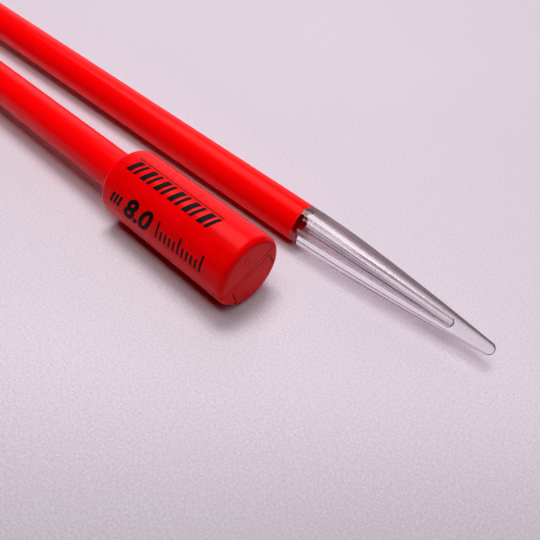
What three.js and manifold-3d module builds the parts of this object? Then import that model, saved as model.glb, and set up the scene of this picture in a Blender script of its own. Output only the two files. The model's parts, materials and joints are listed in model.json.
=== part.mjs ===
// A pair of lighted knitting needles lying head to tail on a flat surface. Millimetres, +Z up.
// Each needle is a red tube with a clear tip lit by a small lamp inside it. The cap on its other end holds
// three button cells behind a sliding door, and a twist of the cap switches the lamp on.
//
// A needle is modelled along its own +X axis: x = 0 is the flat end face of the cap, and the point is at
// x = needleLength. Its Z axis points away from the battery door, and sections are drawn in its YZ plane.
import * as THREE from "three";
import { mergeVertices } from "three/addons/utils/BufferGeometryUtils.js";
import Module from "manifold-3d";

const wasm = await Module();
wasm.setup();

// Clearances
const touch = 0.15; // between pieces that bear on each other
const running = 0.1; // between pieces that turn on each other
const slack = 0.2; // around the door, the cells and the ribs
const seam = 0.15; // between the two shells of the cap

// Shaft and clear tip
const needleLength = 355.6;
const shaftRadius = 4.0;
const shaftBore = 2.8;
const tipStraight = 2.2; // the length before the tip starts to narrow
const tipBend = 10.5; // length of the tighter curve that follows
const tipBendAngle = THREE.MathUtils.degToRad(3.75); // slope where it ends
const tipFlank = 28.0; // length of the long curve down to the rounded point
const tipFlankAngle = THREE.MathUtils.degToRad(6.3);
const spigotLength = 10.0;
const lightBore = 1.7; // radius of the tapered hollow at its open end, round the lamp
const lightBoreEnd = 0.66; // its radius just before the rounded end
const lightBoreDepth = 33.9; // from the end of the shaft

// Cap
const capRadius = 7.0;
const capLength = 32.3;
const capRim = 1.2; // rounding of the end face's edge
const capShoulder = 1.0; // rounding of the edge on the shaft's side
const capWall = 1.3;
const endWall = 1.4;
const middleWall = 1.5;
const frontWall = 1.6;
const seamRise = 0.9; // how far the seam of the shells lies above the axis

// Battery door
const doorHalfWidth = 4.6;
const doorLap = 1.15; // how far it reaches over the bulkhead
const doorTop = 0.15; // how far the upper edge of its end lies below the axis
const doorCorner = 0.8; // rounding between its upper edge and its sides
const tongueDepth = 0.5;
const tongueTop = 3.3;
const tongueBottom = 3.9;
const tongueStart = 0.3;
const tongueRadius = 6.4; // radius of their outer edges
const doorRibs = [7.0, 14.0];

// Cells, contacts and switch
const cellCount = 3;
const cellRadius = 3.95;
const cellHeight = 3.6;
const cellPoleRadius = 2.9;
const cellPoleHeight = 0.45;
const cradleRibs = [6.4, 14.4];
const ribThickness = 1.0;
const sheet = 0.3; // thickness of the contact plates
const springLength = 3.4;
const springTurns = 3;
const springWire = 0.22;
const springFoot = 2.7; // radius of the widest turn
const springHead = 1.6;
const stripHeight = 4.35; // underside of the strip above the cells
const stripWidth = 2.2;
const platePad = 3.6; // radius of the plate under the spring
const wiperReach = 2.4; // how near to the axis the wiper comes
const plusPad = 3.0;
const plusStem = 0.7;
const bulkhead = 1.5;
const ledgeInner = 5.0;
const ledgeThickness = 0.8;
const switchGap = 0.8;
const contactHead = 0.4;
const centreHeadRadius = 1.1;
const stemRadius = 0.45;
const arcInner = 1.9;
const arcOuter = 3.6;
const arcGap = THREE.MathUtils.degToRad(56);
const pinRadius = 0.3;
const pinOffset = 2.0;
const tailLength = 2.0;
const flangeRadius = 4.6;
const flangeThickness = 2.0;
const plugSpigot = 6.0;
const lugRadius = 5.5;
const lugAngle = THREE.MathUtils.degToRad(20);
const lugRest = THREE.MathUtils.degToRad(135);
const twist = THREE.MathUtils.degToRad(90);
const stopAngle = THREE.MathUtils.degToRad(10);
const stopSlack = THREE.MathUtils.degToRad(2);

// Lamp and wiring
const ledRadius = 1.5;
const ledFlangeRadius = 1.9;
const ledFlange = 1.0;
const ledBody = 4.3; // from the flange to the top of the dome
const leadSide = 0.5;
const leadPitch = 2.54;
const anodeLength = 12.7;
const cathodeLength = 10.7;
const ledHolder = 7.0;
const holderPocket = 2.0;
const leadHole = 0.4;
const wireRadius = 0.5;
const jointSleeve = 0.8;
const jointSleeveBore = 0.56;
const jointSleeveLength = 7.0;
const wireSlack = 0.35;

// How the pair lies
const gapBetweenAxes = 20.0; // at the end face of the second needle's cap
const secondCapLead = 4.35; // how far that end face lies beyond the end of the first shaft
const secondYaw = THREE.MathUtils.degToRad(-1.5);
const firstRoll = THREE.MathUtils.degToRad(24);
const secondRoll = THREE.MathUtils.degToRad(-24.2);

// Numbers of flat sides on round pieces
const roundSides = 32;
const smallSides = 16;
const wireSides = 8;

// How much an arc that turns from one slope to another takes off the radius over a length.
function arcDrop(length, from, to) {
  return (length * (Math.cos(from) - Math.cos(to))) / (Math.sin(to) - Math.sin(from));
}

// The tip's outline, worked out from its two curves
const bendEndRadius = shaftRadius - arcDrop(tipBend, 0, tipBendAngle);
const flankEndRadius = bendEndRadius - arcDrop(tipFlank, tipBendAngle, tipFlankAngle);
const noseRadius = flankEndRadius / Math.cos(tipFlankAngle);
const tipLength = tipStraight + tipBend + tipFlank + noseRadius * (1 - Math.sin(tipFlankAngle));

// Places along the needle that several pieces share
const springPlateX = endWall + touch;
const springX = springPlateX + sheet + touch;
const firstCellX = springX + springLength + touch;
const cellPitch = cellHeight + touch;
const plusPlateX = firstCellX + cellCount * cellPitch;
const bulkheadX = plusPlateX + sheet + touch;
const bulkheadEnd = bulkheadX + bulkhead;
const doorLength = bulkheadX + doorLap;
const contactFaceX = bulkheadEnd + switchGap;
const plugX = contactFaceX + contactHead;
const flangeEnd = plugX + flangeThickness;
const tubeX = flangeEnd + touch;
const middleWallX = flangeEnd + running;
const shaftEnd = needleLength - tipLength;
const spigotEnd = shaftEnd - spigotLength;
const capInside = capRadius - capWall;
const ledBaseX = spigotEnd - touch - ledFlange;
const tailEnd = flangeEnd + plugSpigot + tailLength;

// A closed geometry as a solid that can be cut and joined.
function solidOf(geometry) {
  const bare = geometry.clone();
  bare.deleteAttribute("normal");
  bare.deleteAttribute("uv");
  const merged = mergeVertices(bare, 1e-5);
  return new wasm.Manifold(
    new wasm.Mesh({
      numProp: 3,
      vertProperties: merged.attributes.position.array,
      triVerts: new Uint32Array(merged.index.array),
    }),
  );
}

function geometryOf(solid) {
  const { vertProperties, triVerts } = solid.getMesh();
  const geometry = new THREE.BufferGeometry();
  geometry.setAttribute("position", new THREE.BufferAttribute(vertProperties, 3));
  geometry.setIndex(new THREE.BufferAttribute(triVerts, 1));
  geometry.computeVertexNormals();
  return geometry;
}

// A solid of revolution about the needle's axis, from a list of [x, radius] points.
function turned(points, sides = roundSides) {
  const profile = points.map(([x, radius]) => new THREE.Vector2(radius, x));
  return new THREE.LatheGeometry(profile, sides).rotateZ(-Math.PI / 2);
}

// A ring or, with no inner radius, a disc from x to x + length.
function ring(x, length, outer, inner = 0, sides = roundSides) {
  const end = x + length;
  if (inner === 0)
    return turned([[x, 0], [x, outer], [end, outer], [end, 0]], sides);
  return turned([[x, inner], [x, outer], [end, outer], [end, inner], [x, inner]], sides);
}

// A YZ section pushed along X.
function prism(section, x, length) {
  const turn = new THREE.Matrix4().makeBasis(
    new THREE.Vector3(0, 1, 0),
    new THREE.Vector3(0, 0, 1),
    new THREE.Vector3(1, 0, 0),
  );
  return new THREE.ExtrudeGeometry(section, { depth: length, bevelEnabled: false, curveSegments: 12 })
    .applyMatrix4(turn)
    .translate(x, 0, 0);
}

function block(x0, x1, y0, y1, z0, z1) {
  return new THREE.BoxGeometry(x1 - x0, y1 - y0, z1 - z0).translate(
    (x0 + x1) / 2,
    (y0 + y1) / 2,
    (z0 + z1) / 2,
  );
}

// A round pin along X whose axis passes through (y, z).
function pin(x, length, radius, y, z, sides = wireSides) {
  return ring(x, length, radius, 0, sides).translate(0, y, z);
}

// A ring's slice between two angles, measured from +Y towards +Z.
function slice(inner, outer, from, to) {
  const shape = new THREE.Shape();
  shape.absarc(0, 0, outer, from, to, false);
  shape.absarc(0, 0, inner, to, from, true);
  return shape;
}

function arcPoints(centreX, centreR, radius, from, to, steps) {
  return Array.from({ length: steps + 1 }, (_, i) => {
    const angle = from + ((to - from) * i) / steps;
    return [centreX + radius * Math.cos(angle), centreR + radius * Math.sin(angle)];
  });
}

function shaftTube() {
  return ring(tubeX, shaftEnd - touch - tubeX, shaftRadius, shaftBore);
}

// Points of an arc of the tip's outline, from its start at (x, radius) and its first slope to its last.
function slopedArc(x, radius, length, from, to, steps) {
  const arcRadius = length / (Math.sin(to) - Math.sin(from));
  return Array.from({ length: steps }, (_, i) => {
    const slope = from + ((to - from) * (i + 1)) / steps;
    return [
      x + arcRadius * (Math.sin(slope) - Math.sin(from)),
      radius - arcRadius * (Math.cos(from) - Math.cos(slope)),
    ];
  });
}

function clearTip() {
  const bendStart = shaftEnd + tipStraight;
  const bend = slopedArc(bendStart, shaftRadius, tipBend, 0, tipBendAngle, 3);
  const flank = slopedArc(
    bendStart + tipBend, bendEndRadius, tipFlank, tipBendAngle, tipFlankAngle, 3,
  );
  const noseStart = Math.PI / 2 - tipFlankAngle;
  const nose = arcPoints(needleLength - noseRadius, 0, noseRadius, noseStart, 0, 4).slice(1);
  const hollowEnd = arcPoints(
    shaftEnd + lightBoreDepth - lightBoreEnd, 0, lightBoreEnd, 0, Math.PI / 2, 3,
  );
  return turned([
    ...hollowEnd,
    [spigotEnd, lightBore],
    [spigotEnd, shaftBore - touch],
    [shaftEnd, shaftBore - touch],
    [shaftEnd, shaftRadius],
    [bendStart, shaftRadius],
    ...bend,
    ...flank,
    ...nose,
  ]);
}

function ledLens() {
  const flangeTop = ledBaseX + ledFlange;
  const domeCentre = flangeTop + ledBody - ledRadius;
  return turned([
    [ledBaseX, 0],
    [ledBaseX, ledFlangeRadius],
    [flangeTop, ledFlangeRadius],
    [flangeTop, ledRadius],
    ...arcPoints(domeCentre, 0, ledRadius, Math.PI / 2, 0, 4),
  ], smallSides);
}

function ledLead(side, length) {
  const y = (side * leadPitch) / 2;
  const half = leadSide / 2;
  return block(ledBaseX - touch - length, ledBaseX - touch, y - half, y + half, -half, half);
}

function ledHolderCup() {
  const pocketFloor = ledBaseX - touch;
  const body = solidOf(ring(spigotEnd - touch - ledHolder, ledHolder, shaftBore - touch));
  const pocket = solidOf(ring(pocketFloor, 2 * ledFlange, holderPocket, 0, smallSides));
  const holes = [-1, 1].map((side) =>
    solidOf(pin(pocketFloor - ledHolder, ledHolder + ledFlange, leadHole, (side * leadPitch) / 2, 0)),
  );
  return geometryOf(holes.reduce((cup, hole) => cup.subtract(hole), body.subtract(pocket)));
}

// A wire from a tail of the switch to a lead of the lamp, with a little slack in it.
function wire(tailY, tailZ, side, leadLength) {
  const startX = tailEnd + touch;
  const endX = ledBaseX - 2 * touch - leadLength;
  const leadY = (side * leadPitch) / 2;
  const waves = 5;
  const points = Array.from({ length: 2 * waves + 1 }, (_, i) => {
    const share = i / (2 * waves);
    const ease = share * share * (3 - 2 * share);
    const sway = i === 0 || i === 2 * waves ? 0 : wireSlack * (i % 2 ? 1 : -1);
    return new THREE.Vector3(
      startX + (endX - startX) * share,
      tailY + (leadY - tailY) * ease,
      tailZ * (1 - ease) + sway * Math.min(1, 4 * share * (1 - share)),
    );
  });
  const section = new THREE.Shape();
  section.absarc(0, 0, wireRadius, 0, 2 * Math.PI, false);
  return new THREE.ExtrudeGeometry(section, {
    steps: 20,
    curveSegments: wireSides / 2,
    extrudePath: new THREE.CatmullRomCurve3(points),
  });
}

function jointSleeveTube(side, leadLength) {
  const joint = ledBaseX - touch - leadLength;
  return ring(joint - jointSleeveLength / 2, jointSleeveLength, jointSleeve, jointSleeveBore, 12)
    .translate(0, (side * leadPitch) / 2, 0);
}

function switchPlug() {
  const lug = prism(
    slice(flangeRadius - capWall, lugRadius, lugRest - lugAngle / 2, lugRest + lugAngle / 2),
    plugX, flangeThickness,
  );
  const body = turned([
    [plugX, 0],
    [plugX, flangeRadius],
    [flangeEnd, flangeRadius],
    [flangeEnd, shaftBore - touch],
    [flangeEnd + plugSpigot, shaftBore - touch],
    [flangeEnd + plugSpigot, 0],
  ]);
  const through = flangeThickness + plugSpigot + 2;
  return geometryOf(
    solidOf(body)
      .add(solidOf(lug))
      .subtract(solidOf(pin(plugX - 1, through, stemRadius + touch, 0, 0)))
      .subtract(solidOf(pin(plugX - 1, through, pinRadius + touch, 0, -pinOffset))),
  );
}

function centreContact() {
  return turned([
    [contactFaceX, 0],
    [contactFaceX, centreHeadRadius],
    [plugX - touch, centreHeadRadius],
    [plugX - touch, stemRadius],
    [tailEnd, stemRadius],
    [tailEnd, 0],
  ], 16);
}

// The open ring that the wiper meets once the cap has been turned.
function arcContact() {
  const top = Math.PI / 2;
  const arc = slice(arcInner, arcOuter, top + arcGap / 2, top + 2 * Math.PI - arcGap / 2);
  const tail = pin(plugX - contactHead, tailEnd - plugX + contactHead, pinRadius, 0, -pinOffset);
  return geometryOf(
    solidOf(prism(arc, contactFaceX, contactHead - touch)).add(solidOf(tail)),
  );
}

// The cap as one turned solid, without its hollows.
function capOutside() {
  return solidOf(turned([
    [0, 0],
    ...arcPoints(capRim, capRadius - capRim, capRim, Math.PI, Math.PI / 2, 4),
    ...arcPoints(capLength - capShoulder, capRadius - capShoulder, capShoulder, Math.PI / 2, 0, 4),
    [capLength, 0],
  ]));
}

function capHollow() {
  const bore = ring(middleWallX - 1, capLength - middleWallX + 2, shaftRadius + running);
  const bay = ring(endWall, middleWallX - endWall, capInside);
  const front = middleWallX + middleWall;
  const neck = ring(front, capLength - frontWall - front, capInside);
  return solidOf(bore).add(solidOf(bay)).add(solidOf(neck));
}

// A ledge inside both shells that the bulkhead sits against.
function bulkheadLedge() {
  const x = bulkheadEnd + touch;
  return solidOf(ring(x, ledgeThickness, capInside + capWall / 2, ledgeInner));
}

function aboveSeam() {
  const far = 2 * capRadius;
  return solidOf(block(-1, capLength + 1, -far, far, seamRise + seam / 2, far));
}

function belowSeam() {
  const far = 2 * capRadius;
  return solidOf(block(-1, capLength + 1, -far, far, -far, seamRise - seam / 2));
}

// The ribs that the cells lie against, with a slot for the contact strip.
function cellCradle() {
  const inner = cellRadius + slack;
  const slot = stripWidth / 2 + slack;
  const ribs = cradleRibs.map((x) => solidOf(ring(x, ribThickness, capInside + capWall / 2, inner)));
  const kept = solidOf(block(0, capLength, -capRadius, capRadius, 0, capRadius));
  const channel = solidOf(block(0, capLength, -slot, slot, 0, capRadius - capWall));
  return ribs.reduce((all, rib) => all.add(rib)).intersect(kept).subtract(channel);
}

// The two stops that end the cap's twist against the lug of the switch plug.
function twistStops() {
  const reach = lugAngle / 2 + stopSlack;
  const starts = [lugRest + reach, lugRest - twist - reach - stopAngle];
  return starts
    .map((from) =>
      solidOf(prism(
        slice(flangeRadius + slack, capInside + capWall / 2, from, from + stopAngle),
        plugX, middleWallX + middleWall / 2 - plugX,
      )),
    )
    .reduce((all, stop) => all.add(stop));
}

function capUpperShell() {
  return geometryOf(
    capOutside()
      .subtract(capHollow())
      .add(bulkheadLedge())
      .add(cellCradle())
      .add(twistStops())
      .intersect(aboveSeam()),
  );
}

// The door's outline with rounded upper corners, pushed along the cap.
function doorSpace(growth) {
  const half = doorHalfWidth + growth;
  const corner = doorCorner + growth;
  const cornerZ = -doorTop - doorCorner;
  const outline = new THREE.Shape();
  outline.moveTo(-half, -2 * capRadius);
  outline.lineTo(half, -2 * capRadius);
  outline.absarc(half - corner, cornerZ, corner, 0, Math.PI / 2, false);
  outline.absarc(corner - half, cornerZ, corner, Math.PI / 2, Math.PI, false);
  return solidOf(prism(outline, -1, 1 + doorLength + growth));
}

function doorTongues(growth) {
  const half = doorHalfWidth + tongueDepth + growth;
  const start = growth > 0 ? -1 : tongueStart;
  return solidOf(block(
    start, doorLength + growth, -half, half, -tongueBottom - growth, -tongueTop + growth,
  ));
}

function capLowerShell() {
  return geometryOf(
    capOutside()
      .subtract(capHollow())
      .add(bulkheadLedge())
      .intersect(belowSeam())
      .subtract(doorSpace(slack))
      .subtract(doorTongues(slack)),
  );
}

// The door: a slice of the cap's own outside with an end wall, tongues along its sides and ribs for the cells.
function batteryDoor() {
  const inside = solidOf(ring(endWall, doorLength, capInside));
  const panel = capOutside().intersect(doorSpace(0)).subtract(inside);
  const sideStrips = solidOf(ring(tongueStart, doorLength, tongueRadius, capInside))
    .intersect(doorTongues(0));
  const ribReach = capInside + capWall / 2;
  const ribWidth = doorHalfWidth - slack;
  const ribs = doorRibs
    .map((x) => solidOf(ring(x, ribThickness, ribReach, cellRadius + slack)))
    .reduce((all, rib) => all.add(rib))
    .intersect(solidOf(block(0, doorLength, -ribWidth, ribWidth, -capRadius, -tongueBottom + 1)));
  return geometryOf(panel.add(sideStrips).add(ribs));
}

function buttonCell(index) {
  const x = firstCellX + index * cellPitch;
  const end = x + cellHeight;
  return turned([
    [x, 0],
    [x, cellPoleRadius - 0.15],
    [x + 0.15, cellPoleRadius],
    [x + cellPoleHeight, cellPoleRadius + 0.1],
    [x + cellPoleHeight, cellRadius - 0.35],
    [x + cellPoleHeight + 0.3, cellRadius],
    [end - 0.2, cellRadius],
    [end, cellRadius - 0.2],
    [end, 0],
  ], smallSides);
}

// A point on the centre line of the spring, from 0 at the plate to 1 at the cell.
function springPoint(share) {
  const angle = 2 * Math.PI * springTurns * share;
  const radius = springFoot + (springHead - springFoot) * share;
  return new THREE.Vector3(
    springX + springWire + (springLength - 2 * springWire) * share,
    radius * Math.cos(angle),
    radius * Math.sin(angle),
  );
}

class SpringCurve extends THREE.Curve {
  getPoint(share, target = new THREE.Vector3()) {
    return target.copy(springPoint(share));
  }
}

function contactSpring() {
  const section = new THREE.Shape();
  section.absarc(0, 0, springWire, 0, 2 * Math.PI, false);
  return new THREE.ExtrudeGeometry(section, {
    steps: springTurns * 10,
    curveSegments: 3,
    extrudePath: new SpringCurve(),
  });
}

// The least gap between one turn of the spring and the next, measured on points of its centre line.
function springGap() {
  const perTurn = 48;
  const count = springTurns * perTurn;
  const points = Array.from({ length: count + 1 }, (_, i) => springPoint(i / count));
  let least = Infinity;
  points.forEach((a, i) =>
    points.slice(i + perTurn / 2).forEach((b) => {
      least = Math.min(least, a.distanceTo(b));
    }),
  );
  return least - 2 * springWire;
}

// One folded sheet: the plate behind the spring, the strip over the cells and the wiper of the switch.
function negativeContact() {
  const half = stripWidth / 2;
  const top = stripHeight + sheet;
  const wiperEnd = contactFaceX - touch;
  const plate = solidOf(ring(springPlateX, sheet, platePad, 0, smallSides));
  const tab = solidOf(block(springPlateX, springPlateX + sheet, -half, half, 0, top));
  const strip = solidOf(block(springPlateX, wiperEnd, -half, half, stripHeight, top));
  const wiper = solidOf(block(wiperEnd - sheet, wiperEnd, -half, half, wiperReach, top));
  return geometryOf(plate.add(tab).add(strip).add(wiper));
}

function positiveContact() {
  return turned([
    [plusPlateX, 0],
    [plusPlateX, plusPad],
    [plusPlateX + sheet, plusPad],
    [plusPlateX + sheet, plusStem],
    [contactFaceX - touch, plusStem],
    [contactFaceX - touch, 0],
  ], smallSides);
}

function bulkheadDisc() {
  const slot = stripWidth / 2 + running;
  const disc = solidOf(ring(bulkheadX, bulkhead, capInside - touch));
  const hole = solidOf(ring(bulkheadX - 1, bulkhead + 2, plusStem + touch, 0, smallSides));
  const notch = solidOf(block(
    bulkheadX - 1, bulkheadEnd + 1, -slot, slot, stripHeight - running, capRadius,
  ));
  return geometryOf(disc.subtract(hole).subtract(notch));
}

// Materials
const redPlastic = new THREE.MeshStandardMaterial({ color: 0xe0080c, roughness: 0.34, metalness: 0 });
const clearPlastic = new THREE.MeshStandardMaterial({
  color: 0xf4f0f6, roughness: 0.04, metalness: 0, transparent: true, opacity: 0.35,
});
const lampEpoxy = new THREE.MeshStandardMaterial({
  color: 0xf6f8ff, roughness: 0.08, metalness: 0, transparent: true, opacity: 0.45,
});
const whiteNylon = new THREE.MeshStandardMaterial({ color: 0xe9e6de, roughness: 0.5, metalness: 0 });
const redInsulation = new THREE.MeshStandardMaterial({ color: 0xb81414, roughness: 0.5, metalness: 0 });
const blackInsulation = new THREE.MeshStandardMaterial({ color: 0x161618, roughness: 0.5, metalness: 0 });
const tinnedSteel = new THREE.MeshStandardMaterial({ color: 0xc3c5c8, roughness: 0.28, metalness: 1 });
const platedBrass = new THREE.MeshStandardMaterial({ color: 0xc9a75a, roughness: 0.25, metalness: 1 });
const cellSteel = new THREE.MeshStandardMaterial({ color: 0xd2d3d5, roughness: 0.22, metalness: 1 });

// Every piece of one needle, as [name, geometry, material].
function needlePieces() {
  const cells = Array.from({ length: cellCount }, (_, i) => [
    `button_cell_${"abc"[i] ?? i + 1}`, buttonCell(i), cellSteel,
  ]);
  return [
    ["shaft_tube", shaftTube(), redPlastic],
    ["clear_tip", clearTip(), clearPlastic],
    ["led_lens", ledLens(), lampEpoxy],
    ["led_anode_lead", ledLead(1, anodeLength), tinnedSteel],
    ["led_cathode_lead", ledLead(-1, cathodeLength), tinnedSteel],
    ["led_holder", ledHolderCup(), whiteNylon],
    ["positive_wire", wire(0, 0, 1, anodeLength), redInsulation],
    ["negative_wire", wire(0, -pinOffset, -1, cathodeLength), blackInsulation],
    ["positive_joint_sleeve", jointSleeveTube(1, anodeLength), redInsulation],
    ["negative_joint_sleeve", jointSleeveTube(-1, cathodeLength), blackInsulation],
    ["switch_plug", switchPlug(), whiteNylon],
    ["centre_contact", centreContact(), platedBrass],
    ["arc_contact", arcContact(), platedBrass],
    ["cap_upper_shell", capUpperShell(), redPlastic],
    ["cap_lower_shell", capLowerShell(), redPlastic],
    ["battery_door", batteryDoor(), redPlastic],
    ["bulkhead", bulkheadDisc(), whiteNylon],
    ["positive_contact", positiveContact(), platedBrass],
    ["negative_contact", negativeContact(), platedBrass],
    ["contact_spring", contactSpring(), tinnedSteel],
    ...cells,
  ];
}

// A needle resting on its cap's shoulder and on the start of its tip, with its point towards yaw.
function laidNeedle(pieces, number, yaw, roll) {
  const supportSpan = shaftEnd + tipStraight - (capLength - capShoulder);
  const dip = Math.atan((capRadius - shaftRadius) / supportSpan);
  const needle = new THREE.Group();
  for (const [name, geometry, material] of pieces) {
    const mesh = new THREE.Mesh(geometry, material);
    mesh.name = `${name}_${number}`;
    needle.add(mesh);
  }
  needle.rotation.set(roll, dip, yaw, "ZYX");
  return needle;
}

function dropToTable(group) {
  group.position.z -= new THREE.Box3().setFromObject(group, true).min.z;
}

console.log(`least gap in the contact spring: ${springGap().toFixed(2)} mm`);

const pieces = needlePieces();
const first = laidNeedle(pieces, 1, 0, firstRoll);
const second = laidNeedle(pieces, 2, Math.PI + secondYaw, secondRoll);
second.position.set(shaftEnd + secondCapLead, -gapBetweenAxes, 0);
dropToTable(first);
dropToTable(second);

const pair = new THREE.Group();
pair.add(first, second);
const middle = new THREE.Box3().setFromObject(pair, true).getCenter(new THREE.Vector3());
pair.position.set(-middle.x, -middle.y, 0);

export default pair;
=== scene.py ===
import json
import math

import bmesh
import bpy
from mathutils import Matrix, Vector

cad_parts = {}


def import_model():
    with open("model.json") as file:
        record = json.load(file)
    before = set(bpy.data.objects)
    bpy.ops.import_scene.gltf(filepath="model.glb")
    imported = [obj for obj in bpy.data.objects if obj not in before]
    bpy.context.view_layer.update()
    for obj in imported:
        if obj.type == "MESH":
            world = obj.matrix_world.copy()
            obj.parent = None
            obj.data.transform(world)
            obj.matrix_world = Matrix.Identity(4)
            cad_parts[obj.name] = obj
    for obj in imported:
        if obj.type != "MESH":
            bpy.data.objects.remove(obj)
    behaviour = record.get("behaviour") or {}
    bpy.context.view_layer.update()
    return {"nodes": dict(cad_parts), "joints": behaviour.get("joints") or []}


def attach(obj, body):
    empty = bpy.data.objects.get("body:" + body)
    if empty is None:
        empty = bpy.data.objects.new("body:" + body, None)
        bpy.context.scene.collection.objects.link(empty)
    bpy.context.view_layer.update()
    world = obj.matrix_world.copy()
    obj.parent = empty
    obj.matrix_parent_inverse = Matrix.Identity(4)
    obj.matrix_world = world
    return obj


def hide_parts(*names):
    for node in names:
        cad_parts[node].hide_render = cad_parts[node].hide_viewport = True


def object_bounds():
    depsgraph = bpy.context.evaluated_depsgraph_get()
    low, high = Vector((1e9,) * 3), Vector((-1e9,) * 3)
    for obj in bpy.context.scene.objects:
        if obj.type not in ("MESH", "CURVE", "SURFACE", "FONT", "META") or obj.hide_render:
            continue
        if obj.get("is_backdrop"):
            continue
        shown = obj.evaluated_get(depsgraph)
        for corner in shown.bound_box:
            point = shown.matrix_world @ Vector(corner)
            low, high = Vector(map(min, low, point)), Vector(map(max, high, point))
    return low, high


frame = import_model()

# A pair of lighted knitting needles that lie head to tail on a pale table.
# Each needle is drawn in millimetres along its own +X axis, from the flat end of its cap to its point,
# with the battery door towards -Z, and is then put in its place in the part's frame.
MM = 0.001

# How far a cutting solid reaches past what it cuts
OVERCUT = 1

# Shaft and tip
NEEDLE_LENGTH = 355.6
SHAFT_RADIUS = 4.0
SHAFT_BORE = 2.8
TIP_STRAIGHT = 2.2
TIP_BEND = 10.5
TIP_BEND_ANGLE = math.radians(3.75)
TIP_FLANK = 28.0
TIP_FLANK_ANGLE = math.radians(6.3)
SPIGOT_LENGTH = 10.0
CEMENTED = 0.02
MOUTH_EDGE = 0.08
LIGHT_BORE = 1.7
LIGHT_BORE_END = 0.66
LIGHT_BORE_DEPTH = 33.9
BORE_WAVES = (7, 13, 22)
BORE_WAVE = 0.003

# Cap
CAP_RADIUS = 7.0
CAP_LENGTH = 32.3
CAP_RIM = 1.2
RIM_SUPPORT = 0.1
CAP_SHOULDER = 1.0
CAP_INSIDE = 5.7
CAP_BORE = 4.1
END_WALL = 1.4
MIDDLE_WALL = 1.5
FRONT_WALL = 1.6
SEAM_RISE = 0.9
SEAM_WIDTH = 0.2
GATE_RADIUS = 0.4
GATE_RISE = 2.5
GATE_DEPTH = 0.08

# Battery door
DOOR_HALF_WIDTH = 4.6
DOOR_LAP = 1.15
DOOR_TOP = 0.15
DOOR_GAP = 0.2
DOOR_CORNER = 0.8
TONGUE_DEPTH = 0.5
TONGUE_TOP = 3.3
TONGUE_BOTTOM = 3.9
TONGUE_START = 0.3
TONGUE_RADIUS = 6.4
DOOR_RIBS = (7.0, 14.0)
RIB_THICKNESS = 1.0
RIB_OVERLAP = 0.6
RIB_RISE = 1.0

# Print on the cap, laid flat before it is wrapped round: angles are those of its foot, in degrees
INK_THICKNESS = 0.02
INK_LIFT = 0.008
PRINT_STRIP = 0.25
PRINT_SLANT = 0.35
BAR_X = 29.3
BAR_ANGLE = 88.5
BAR_COUNT = 12
BAR_PITCH = 1.85
BAR_WIDTHS = (1.25, 0.75)
BAR_HEIGHT = 2.95
LINE_RISE = 3.3
LINE_WIDTH = 0.2
FIGURE_X = 25.6
FIGURE_ANGLE = 28.0
FIGURE_SIZE = 5.5
FIGURE_WEIGHT = 0.2
LEAD_X = 29.4
LEAD_ANGLE = 33.0
LEAD_COUNT = 3
LEAD_PITCH = 1.0
LEAD_WIDTH = 0.6
LEAD_HEIGHT = 2.2
RULE_X = 16.6
RULE_ANGLE = 31.0
RULE_COUNT = 11
RULE_PITCH = 1.1
RULE_WIDTH = 0.45
RULE_SHORT = 1.9
RULE_TALL = 3.2

# Cells, spring and bulkhead
CELLS = "abc"
CELL_RADIUS = 3.95
CELL_HEIGHT = 3.6
CELL_SLACK = 0.2
CELL_FACE = 2.75
CELL_FACE_EDGE = 0.15
# The groove round each cell's smaller face, as depths below the face and radii
CELL_GROOVE = ((0.45, 2.95), (0.45, 3.1), (0.38, 3.15), (0.38, 3.5))
CELL_CAN_RISE = 0.7
CELL_RIM = 0.3
CELL_BACK_RIM = 0.25
TOUCH = 0.15
SHEET = 0.3
SPRING_LENGTH = 3.4
SPRING_TURNS = 3
SPRING_WIRE = 0.22
SPRING_FOOT = 2.7
SPRING_HEAD = 1.6
SPRING_STEPS = 40
SPRING_SIDES = 10
BULKHEAD = 1.5
SWITCH_GAP = 0.8
CONTACT_HEAD = 0.4
FLANGE = 2.0
FLANGE_PLAY = 0.1
LEDGE_INNER = 5.0
LEDGE = 0.8

# Lamp
LED_RADIUS = 1.5
LED_FLANGE_RADIUS = 1.9
LED_FLANGE = 1.0
LED_BODY = 4.3

# Places along the needle
SPRING_X = END_WALL + TOUCH + SHEET + TOUCH
FIRST_CELL_X = SPRING_X + SPRING_LENGTH + TOUCH
CELL_PITCH = CELL_HEIGHT + TOUCH
BULKHEAD_X = FIRST_CELL_X + len(CELLS) * CELL_PITCH + SHEET + TOUCH
BULKHEAD_END = BULKHEAD_X + BULKHEAD
DOOR_LENGTH = BULKHEAD_X + DOOR_LAP
FLANGE_END = BULKHEAD_END + SWITCH_GAP + CONTACT_HEAD + FLANGE
TUBE_X = FLANGE_END + TOUCH
MIDDLE_WALL_X = FLANGE_END + FLANGE_PLAY
TWIST_X = 22.0

# Each needle's turn about its own axis
ROLLS = {1: math.radians(24), 2: math.radians(-24.2)}

# Where a clear piece keeps, for each point, how far along it and at what turn the point lies
AROUND = "around"
# Where a piece keeps which of its points lie on the hollow's wall, or inside cemented plastic
HOLLOW = "hollow"
CEMENT = "cement"

# Painted shade on the clear tip: stripes of dark tint that stand in for the shade seen through it. For each, where
# it starts, is full, begins to fade and ends, by turn about the tip's axis in degrees, and its colour
PAINTED_SHADE_STRIPES = (
    (6, 20, 62, 84, (0.17, 0.095, 0.088)),
    (158, 168, 198, 206, (0.42, 0.33, 0.36)),
)

# How many sides round pieces have, and the angle in degrees above which an edge stays sharp
FINE = 192
MEDIUM = 96
SHARP_ANGLE = 28

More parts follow.
